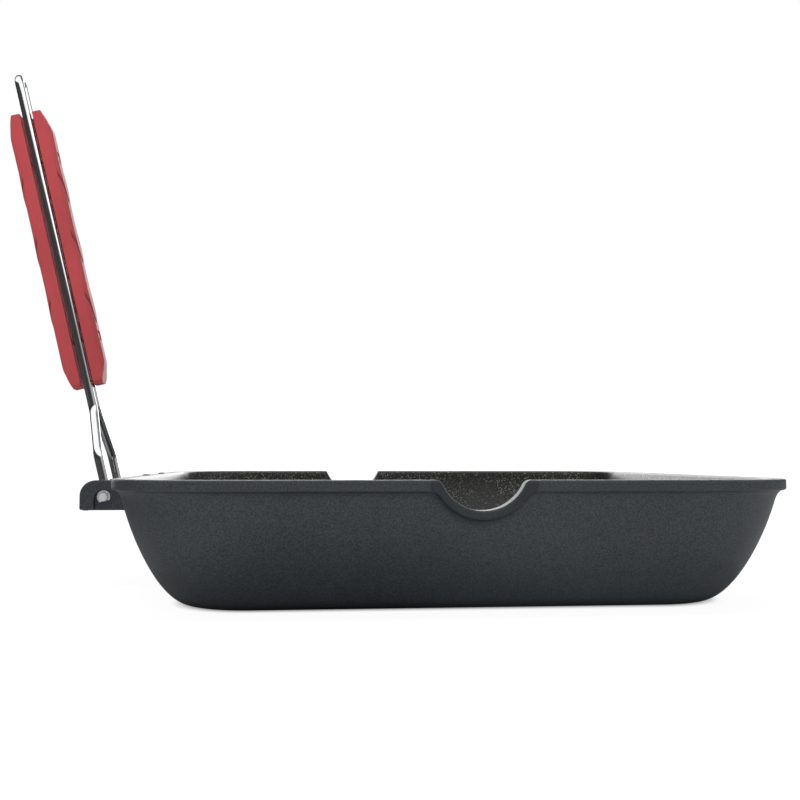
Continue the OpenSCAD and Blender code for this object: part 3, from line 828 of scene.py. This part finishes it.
class Graph:
    """The nodes of one material or world."""

    def __init__(self, owner):
        owner.use_nodes = True
        self.tree = owner.node_tree
        self.tree.nodes.clear()

    def node(self, kind, settings=None, values=None, output=0):
        """Adds a node: its settings first, then the values or links of its sockets."""
        made = self.tree.nodes.new(kind)
        for key, setting in (settings or {}).items():
            setattr(made, key, setting)
        for key, value in (values or {}).items():
            socket = made.inputs[key]
            if isinstance(value, Value):
                self.tree.links.new(value.socket, socket)
            elif socket.type == "RGBA" and len(value) == 3:
                socket.default_value = (*value, 1)
            else:
                socket.default_value = value
        return Value(self, made.outputs[output])

    def mix(self, share, a, b):
        """Colour a where share is 0 and b where it is 1."""
        return self.node("ShaderNodeMix", {"data_type": "RGBA"}, {0: share, 6: a, 7: b}, output=2)

    def place(self):
        """The place of a point on the piece, in metres."""
        return self.node("ShaderNodeTexCoord", output=3)

    def axes(self, vector):
        """The x, y and z of a vector."""
        parts = self.node("ShaderNodeSeparateXYZ", {}, {"Vector": vector})
        return [Value(self, socket) for socket in parts.socket.node.outputs]

    def attribute(self, name):
        """A number that the mesh holds at each of its points."""
        return self.node("ShaderNodeAttribute", {"attribute_name": name}, {}, output=2)

    def ray(self, output):
        """1 where the ray is of the Light Path output's kind: 0 camera, 3 glossy."""
        return self.node("ShaderNodeLightPath", output=output)

    def noise(self, scale, detail, rough, vector):
        values = {"Vector": vector, "Scale": scale, "Detail": detail, "Roughness": rough}
        return self.node("ShaderNodeTexNoise", {}, values)

    def bump(self, height, strength, distance):
        values = {"Height": height, "Strength": strength, "Distance": distance}
        return self.node("ShaderNodeBump", {}, values)

    def principled(self, values):
        return self.node("ShaderNodeBsdfPrincipled", {}, values)

    def end(self, shader, target):
        out = self.tree.nodes.new(target)
        self.tree.links.new(shader.socket, out.inputs["Surface"])


def material(name, build):
    """A material whose nodes build(graph) makes; it returns the surface's shader."""
    made = bpy.data.materials.new(name)
    graph = Graph(made)
    graph.end(build(graph), "ShaderNodeOutputMaterial")
    return made


def tint(shade, share):
    """A colour made darker or lighter by a share of itself."""
    return tuple(min(1, share * c) for c in shade)


def flecks(graph, scale, size, seed, vector):
    """Round flecks, one to a Voronoi cell, whose size differs by cell: 1 on a fleck, else 0."""
    shift = (seed, seed * 0.7, -seed)
    shifted = graph.node("ShaderNodeVectorMath", {"operation": "ADD"}, {0: vector, 1: shift})
    distance = graph.node("ShaderNodeTexVoronoi", {}, {"Vector": shifted, "Scale": scale})
    cell = graph.node("ShaderNodeTexVoronoi", {}, {"Vector": shifted, "Scale": scale}, output=1)
    pick = graph.node("ShaderNodeSeparateColor", {}, {"Color": cell})
    radius = (pick**3.0) * size + 0.02
    return ((radius - distance) * 12.0).clamp()


def pan_coat(graph):
    """Dark grey satin coat with a fine sparkle outside, with painted shade on the notches' bands and at
    the foot, and a near-black lining with pale stone flecks inside; the attribute lined says which.
    The coat's fine grain leaves out the lining and the flat top of the rim."""
    look = scene_group("pan_finishes")
    place = graph.place()
    lined, facet = graph.attribute("lined"), graph.attribute("facet")
    cloud = graph.noise(22.0, 3.0, 0.6, place)
    sparkle = flecks(graph, 1900.0, 0.55, 3.1, place)
    paint = tuple(look.paint)
    fine = graph.noise(1500.0, 1.0, 0.5, place).between(0.3, 0.7)
    speckle = (fine * 0.8 + cloud.between(0.3, 0.75) * 0.2).clamp()
    outside = graph.mix(speckle, tint(paint, 0.66), tint(paint, 1.34))
    outside = graph.mix(sparkle * 0.35, outside, tint(paint, 1.7))
    # Painted shade: the leaning facets of the notches' bands are mixed towards 0.3 of the paint.
    outside = graph.mix(facet * 0.55, outside, tint(paint, 0.3))
    # Painted shade: the lowest 5 mm of the outside are mixed towards 0.45 of the paint, standing in for the
    # shade at the floor.
    foot = graph.axes(place)[2].between(0.0, 5 * MM)
    outside = graph.mix(foot, tint(paint, 0.45), outside)
    small = flecks(graph, 1500.0, 0.75, 11.0, place)
    large = flecks(graph, 760.0, 0.42, 5.0, place)
    thin = graph.noise(60.0, 2.0, 0.5, place).between(0.35, 0.62)
    spots = (small * (0.12 + thin * 0.35) + large * 0.45).clamp()
    inside = graph.mix(spots, tuple(look.lining), tuple(look.fleck))
    grain = graph.noise(900.0, 2.0, 0.6, place)
    orange = graph.noise(260.0, 1.0, 0.5, place)
    up = graph.axes(graph.node("ShaderNodeNewGeometry", output=1))[2]
    grained = (1 - lined) * (1 - up.between(0.6, 0.95))
    return graph.principled(
        {
            "Base Color": graph.mix(lined, outside, inside),
            "Roughness": 0.40 + cloud * 0.08 - lined * 0.06,
            "Specular IOR Level": 0.35,
            "Coat Weight": lined * 0.4,
            "Coat Roughness": 0.28,
            "Normal": graph.bump((grain * 0.6 + orange * 0.4 - 0.5) * grained, 0.3, 0.08 * MM),
        }
    )


def chrome(graph):
    """Bright plating with faint drawing lines along the wire, dull on the pins' ends."""
    look = scene_group("pan_finishes")
    place = graph.place()
    haze = graph.noise(140.0, 3.0, 0.6, place)
    lines = graph.noise(1500.0, 1.0, 0.5, place)
    ends = graph.axes(place)[1].absolute().between(26.2 * MM, 26.6 * MM)
    return graph.principled(
        {
            "Base Color": graph.mix(haze, tint(look.chrome, 0.93), tuple(look.chrome)),
            "Metallic": 1 - ends * 0.9,
            "Roughness": 0.07 + haze * 0.06 + ends * 0.25,
            "Normal": graph.bump(lines, 0.05, 0.05 * MM),
        }
    )


def moulded(graph):
    """Matte moulded plastic: even red, a fine spark-eroded grain and a painted shade along the foot of each
    step.
    """
    plastic = tuple(scene_group("pan_finishes").plastic)
    place = graph.place()
    cloud = graph.noise(35.0, 3.0, 0.55, place)
    grain = graph.noise(2100.0, 2.0, 0.65, place)
    base = graph.mix(cloud.between(0.3, 0.7), tint(plastic, 0.93), tint(plastic, 1.06))
    return graph.principled(
        {
            # Painted shade: along the foot of each step the red is mixed towards 0.12 of itself.
            "Base Color": graph.mix(graph.attribute("crease") * 0.8, base, tint(plastic, 0.12)),
            "Roughness": 0.42 + grain * 0.14,
            "Specular IOR Level": 0.5,
            "Normal": graph.bump(grain, 0.3, 0.08 * MM),
        }
    )


def plated(shade, rough, metal=1.0):
    """A builder for plain plated metal with a brushed haze."""

    def build(graph):
        haze = graph.noise(900.0, 2.0, 0.6, graph.place())
        return graph.principled(
            {
                "Base Color": graph.mix(haze, tint(shade, 0.85), shade),
                "Metallic": metal,
                "Roughness": rough + haze * 0.12,
                "Normal": graph.bump(haze, 0.1, 0.04 * MM),
            }
        )

    return build


# ---------------------------------------------------------------- operators


def scene_group(name):
    """One of this add-on's property groups on the scene."""
    return getattr(bpy.context.scene, name)


class MakePan(bpy.types.Operator):
    """Build the cast pan with its rim band and notches"""

    bl_idname = "pan.make_pan"
    bl_label = "Make Pan"

    def execute(self, context):
        pan = scene_group("pan_sizes")
        rings, facet = pan_surface(pan)
        points, quads, triangles = loft(rings)
        lined = np.concatenate([inside_share(rings).ravel(), [0, 1]])
        facet = np.concatenate([facet.ravel(), [0, 0]])
        made = mesh_object("pan_casting", points, quads, triangles, {"lined": lined, "facet": facet})
        finish_piece(made, "pan", "pan_paint", material("pan coat", pan_coat), "pan_body")
        return {"FINISHED"}


class MakeLug(bpy.types.Operator):
    """Build the lug: two ears, the web and the stop bar, blended into the wall"""

    bl_idname = "pan.make_lug"
    bl_label = "Make Lug"

    def execute(self, context):
        pan, lug = scene_group("pan_sizes"), scene_group("lug_sizes")
        side = lug.inner + lug.thick + 5 * MM
        low = np.array([lug.end - 1 * MM, -side, lug.top - lug.tall - 4 * MM])
        high = np.array([-pan.half + 14 * MM, side, pan.height + 1 * MM])
        points, quads = net_surface(lambda p: lug_field(pan, lug, p), low, high, lug.grain)
        blank = np.zeros(len(points))
        made = mesh_object("handle_lug", points, quads, (), {"lined": blank, "facet": blank}, sharp=50)
        finish_piece(made, "pan", "pan_paint", bpy.data.materials["pan coat"], "pan_body")
        return {"FINISHED"}


class MakeWire(bpy.types.Operator):
    """Build the bent wire of the handle"""

    bl_idname = "pan.make_wire"
    bl_label = "Make Wire"

    def execute(self, context):
        points, quads, triangles = loft(wire_surface(scene_group("wire_sizes")), flip=True)
        made = mesh_object("bent_wire", points, quads, triangles, sharp=50)
        finish_piece(made, "handle", "wire", material("chrome", chrome), "handle_wire")
        return {"FINISHED"}


class MakeGrips(bpy.types.Operator):
    """Build the two scales of the grip"""

    bl_idname = "pan.make_grips"
    bl_label = "Make Grips"

    def execute(self, context):
        grip, lean = scene_group("grip_sizes"), scene_group("wire_sizes").lean
        plastic = material("moulded plastic", moulded)
        places = [grip.start + grip.screw_inset, grip.start + grip.long - grip.screw_inset]
        for name, thickness, sign, depth, radius in (
            ("inner", grip.inner, 1, 3.8 * MM, 3.0 * MM),
            ("outer", grip.outer, -1, 3.0 * MM, 2.9 * MM),
        ):
            rings, crease = scale_surface(grip, thickness)
            points, quads, triangles = loft(lean_over(rings * np.array([sign, 1, 1]), lean), flip=sign < 0)
            crease = np.concatenate([crease.ravel(), [0, 0]])
            made = mesh_object(name + "_scale", points, quads, triangles, {"crease": crease}, sharp=38)
            face = grip.slot / 2 + thickness
            cut_holes(made, places, radius, sign * (face - depth), sign * (face + 2 * MM))
            finish_piece(made, "handle", "grip", plastic, name + "_grip")
        return {"FINISHED"}


class MakeRings(bpy.types.Operator):
    """Build the two retaining rings"""

    bl_idname = "pan.make_rings"
    bl_label = "Make Rings"

    def execute(self, context):
        steel = material("spring steel", plated(tuple(scene_group("pan_finishes").steel), 0.16, 0.2))
        for name, side in (("near", -1), ("far", 1)):
            points, quads, triangles = loft(ring_surface(scene_group("wire_sizes"), side), flip=side < 0)
            made = mesh_object(name + "_ring", points, quads, triangles)
            finish_piece(made, "handle", "ring", steel, name + "_retaining_ring")
        return {"FINISHED"}


class DressFasteners(bpy.types.Operator):
    """Give the screws and nuts of the CAD model their finishes"""

    bl_idname = "pan.dress_fasteners"
    bl_label = "Dress Fasteners"

    def execute(self, context):
        look = scene_group("pan_finishes")
        finishes = {
            "screw": material("zinc plate", plated(tuple(look.zinc), 0.24)),
            "nut": material("turned brass", plated(tuple(look.brass), 0.2)),
        }
        for kind, finish in finishes.items():
            for place in ("upper", "lower"):
                node = frame["nodes"][f"{place}_grip_{kind}"]
                node.data.materials.clear()
                node.data.materials.append(finish)
        return {"FINISHED"}


class MakeStage(bpy.types.Operator):
    """Build the floor, the lights and the camera"""

    bl_idname = "pan.make_stage"
    bl_label = "Make Stage"

    def execute(self, context):
        self.floor()
        self.world()
        self.lamps()
        self.camera()
        bpy.context.scene.view_settings.view_transform = "Standard"
        return {"FINISHED"}

    def floor(self):
        """White to the camera with a thin painted contact shadow round the pan's foot. To other rays, a
        pale floor with a painted shadow patch in front of the handle's half of the pan, painted darker
        towards -X for glossy rays."""
        look, pan = scene_group("pan_finishes"), scene_group("pan_sizes")
        flat = pan.half - pan.base_inset - pan.base_corner
        reach = 6.0
        corners = [(-reach, -reach, 0), (reach, -reach, 0), (reach, reach, 0), (-reach, reach, 0)]
        made = mesh_object("floor", np.array(corners), [[0, 1, 2, 3]])

        def build(graph):
            camera = graph.ray(0)
            x, y, _ = graph.axes(graph.place())
            # Painted shadow for rays other than the camera's: a dark patch on the floor round (-0.055,
            # -0.13).
            blob = ((x + 0.055) * (x + 0.055) * 0.4 + (y + 0.13) * (y + 0.13)) ** 0.5
            lit = 0.92 * blob.between(0.012, 0.055) + 0.04
            # Painted shade for glossy rays: the floor is darker towards -X.
            left = 1 - (0 - x).between(0.1, 0.3)
            bounce = graph.mix(graph.ray(3), lit, lit * (left * 0.8 + 0.12))
            past_x, past_y = ((side.absolute() - flat).at_least(0.0) for side in (x, y))
            gap = (past_x * past_x + past_y * past_y) ** 0.5 - pan.base_corner
            # Painted shadow: within 9 mm of the pan's base the camera's white is dimmed.
            contact = 1 - gap.between(0.0, 9 * MM)
            return graph.principled(
                {
                    "Base Color": graph.mix(camera, bounce, tint(look.floor, 0.34)),
                    "Roughness": 1.0,
                    "Specular IOR Level": 0.0,
                    "Emission Color": graph.mix(camera * (0.93 - contact * 0.62), (0, 0, 0), (1, 1, 1)),
                    "Emission Strength": 1.0,
                }
            )

        made.data.materials.append(material("floor", build))

    def world(self):
        """White to the camera. For the rest, a soft room: bright behind, above and to the sides,
        dim in front at eye level."""
        world = bpy.data.worlds.new("studio")
        bpy.context.scene.world = world
        graph = Graph(world)
        x, y, z = graph.axes(graph.node("ShaderNodeTexCoord", output=0))
        behind, above = y.between(-0.25, 0.35), z.between(0.35, 0.8)
        side = (x * x).between(0.45, 0.9)
        soft = behind * (above * 0.4 + 0.4) + side * 0.12 + 0.03
        backdrop = y.between(0.76, 0.86) * 3.0
        shaded = (x.between(0.2, 0.45) * y.between(-0.15, 0.1) + y.between(0.05, 0.35)).clamp()
        roof = z.between(0.395, 0.425) * (1.2 - shaded * 1.1)
        right = x.between(0.5, 0.95) * z.between(0.08, 0.3) * 0.45
        sharp = (backdrop + roof + right + 0.05).clamp(4.0)
        level = soft + (sharp - soft) * graph.ray(3)
        grey = graph.node("ShaderNodeCombineXYZ", {}, {0: level, 1: level, 2: level})
        shade = graph.mix(graph.ray(0), grey, (1, 1, 1))
        background = graph.node("ShaderNodeBackground", {}, {"Color": shade, "Strength": 1.0})
        graph.end(background, "ShaderNodeOutputWorld")

    def lamps(self):
        """Two suns, from above and from low in front, and three soft discs. None of them shows in
        a reflection: what the chrome mirrors is the room alone."""
        for name, kind, place, aim, size, power in (
            ("top", "SUN", (0, 0, 1), (0, 0, 0), 0.2, 0.5),
            ("low", "SUN", (0.1, -1, 0.01), (0, 0, 0), 0.3, 1.9),
            ("front", "AREA", (-0.35, -0.5, 0.75), (-0.15, 0, 0.15), 0.4, 0.35),
            ("left", "AREA", (-0.9, -0.55, 0.04), (0, 0, 0.03), 0.5, 1.7),
            ("right", "AREA", (0.9, -0.50, 0.04), (0, 0, 0.03), 0.5, 0.8),
        ):
            lamp = bpy.data.lights.new(name, kind)
            lamp.energy = power
            if kind == "SUN":
                lamp.angle = size
            else:
                lamp.size, lamp.shape = size, "DISK"
            made = bpy.data.objects.new(name, lamp)
            made.location = place
            made.rotation_euler = (Vector(aim) - made.location).to_track_quat("-Z", "Y").to_euler()
            made.visible_glossy = False
            bpy.context.scene.collection.objects.link(made)

    def camera(self):
        view = scene_group("pan_camera")
        data = bpy.data.cameras.new("camera")
        data.lens, data.sensor_width = view.lens, 36.0
        data.clip_start, data.clip_end = 0.01, 50
        made = bpy.data.objects.new("camera", data)
        right = Vector((math.cos(view.yaw), -math.sin(view.yaw), 0))
        ahead = Vector(
            (
                math.sin(view.yaw) * math.cos(view.pitch),
                math.cos(view.yaw) * math.cos(view.pitch),
                math.sin(view.pitch),
            )
        )
        up = right.cross(ahead)
        turn = Matrix((right, up, -ahead)).transposed().to_4x4()
        made.matrix_world = Matrix.Translation(Vector(view.eye)) @ turn @ Matrix.Rotation(view.roll, 4, "Z")
        bpy.context.scene.collection.objects.link(made)
        bpy.context.scene.camera = made


class PanPanel(bpy.types.Panel):
    """The steps that build the pan"""

    bl_idname = "VIEW3D_PT_folding_pan"
    bl_label = "Folding Handle Pan"
    bl_space_type = "VIEW_3D"
    bl_region_type = "UI"
    bl_category = "Pan"

    def draw(self, context):
        for operator in OPERATORS:
            self.layout.operator(operator.bl_idname)


OPERATORS = (MakePan, MakeLug, MakeWire, MakeGrips, MakeRings, DressFasteners, MakeStage)


def register():
    for group in GROUPS.values():
        bpy.utils.register_class(group)
    for operator in OPERATORS:
        bpy.utils.register_class(operator)
    bpy.utils.register_class(PanPanel)
    for name, group in GROUPS.items():
        setattr(bpy.types.Scene, name, PointerProperty(type=group))


def unregister():
    for name in GROUPS:
        delattr(bpy.types.Scene, name)
    bpy.utils.unregister_class(PanPanel)
    for operator in reversed(OPERATORS):
        bpy.utils.unregister_class(operator)
    for group in reversed(GROUPS.values()):
        bpy.utils.unregister_class(group)


def main():
    """Registers the add-on and builds every piece in order."""
    register()
    bpy.ops.pan.make_pan()
    bpy.ops.pan.make_lug()
    bpy.ops.pan.make_wire()
    bpy.ops.pan.make_grips()
    bpy.ops.pan.make_rings()
    bpy.ops.pan.dress_fasteners()
    bpy.ops.pan.make_stage()


if __name__ == "__main__":
    main()
